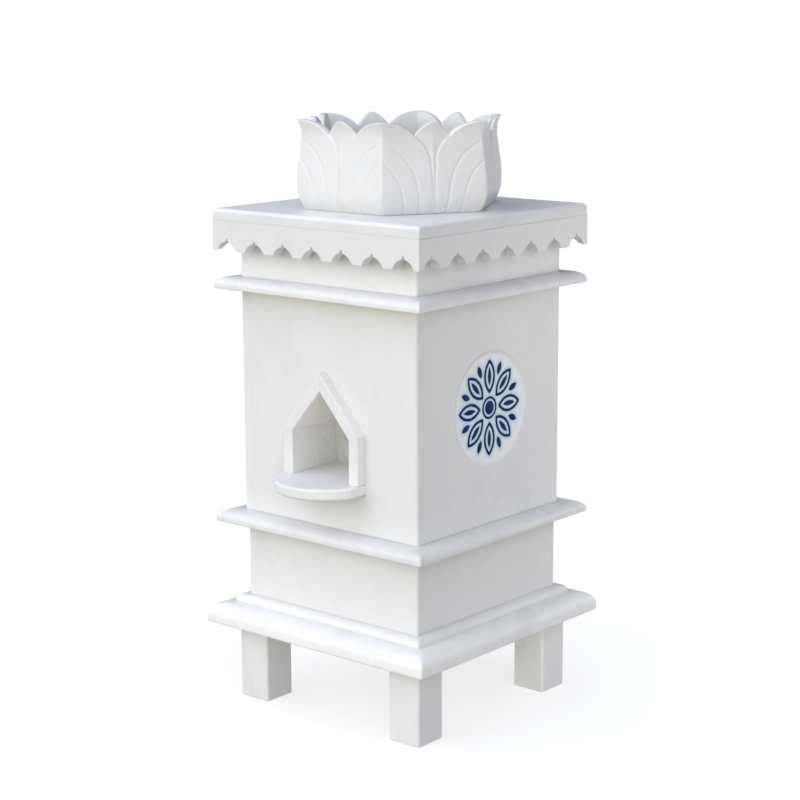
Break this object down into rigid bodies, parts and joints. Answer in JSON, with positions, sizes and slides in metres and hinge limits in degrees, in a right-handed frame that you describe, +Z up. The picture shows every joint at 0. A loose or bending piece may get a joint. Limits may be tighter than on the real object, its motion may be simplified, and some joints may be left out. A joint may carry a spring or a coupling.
{
  "type": "tulsi vrindavan planter",
  "caption": "Square marble tulsi pedestal on legs, with a gabled lamp niche, an inlaid roundel, a cusped valance and a lift-off six-sided lotus pot.",
  "frame": {"origin": "on the floor, on the upright axis shared by every square course, midway between the four legs", "axes": "+Z is up, -Y is the front with the lamp niche, and +X is the side with the roundel"},
  "size_m": [0.442, 0.477, 0.914],
  "materials": {
    "pedestal_marble": "honed white marble with soft grey veins",
    "pot_marble": "hand-carved white marble, honed",
    "blue_inlay": "polished dark blue stone, let in flush",
    "dowel_steel": "plain stainless rod"
  },
  "bodies": {
    "pedestal": {"front_left_leg": "pedestal_marble", "front_right_leg": "pedestal_marble", "rear_left_leg": "pedestal_marble", "rear_right_leg": "pedestal_marble", "leg_dowels": "dowel_steel", "base_slab": "pedestal_marble", "base_step": "pedestal_marble", "middle_slab": "pedestal_marble", "upper_slab": "pedestal_marble", "top_slab": "pedestal_marble", "dado_front_panel": "pedestal_marble", "dado_right_panel": "pedestal_marble", "dado_back_panel": "pedestal_marble", "dado_left_panel": "pedestal_marble", "shaft_front_panel": "pedestal_marble", "shaft_right_panel": "pedestal_marble", "shaft_back_panel": "pedestal_marble", "shaft_left_panel": "pedestal_marble", "neck_front_panel": "pedestal_marble", "neck_right_panel": "pedestal_marble", "neck_back_panel": "pedestal_marble", "neck_left_panel": "pedestal_marble", "valance_front_panel": "pedestal_marble", "valance_right_panel": "pedestal_marble", "valance_back_panel": "pedestal_marble", "valance_left_panel": "pedestal_marble", "niche_sill": "pedestal_marble", "niche_back": "pedestal_marble", "niche_left_jamb": "pedestal_marble", "niche_left_rafter": "pedestal_marble", "niche_left_cheek": "pedestal_marble", "niche_left_ceiling": "pedestal_marble", "niche_right_jamb": "pedestal_marble", "niche_right_rafter": "pedestal_marble", "niche_right_cheek": "pedestal_marble", "niche_right_ceiling": "pedestal_marble", "roundel_inlay": "blue_inlay"},
    "pot": {"lotus_pot": "pot_marble"}
  },
  "joints": [
    {"name": "pot_lift", "type": "slide", "parent": "pedestal", "child": "pot", "axis": [0, 0, 1], "range_m": [0, 0.15]}
  ]
}
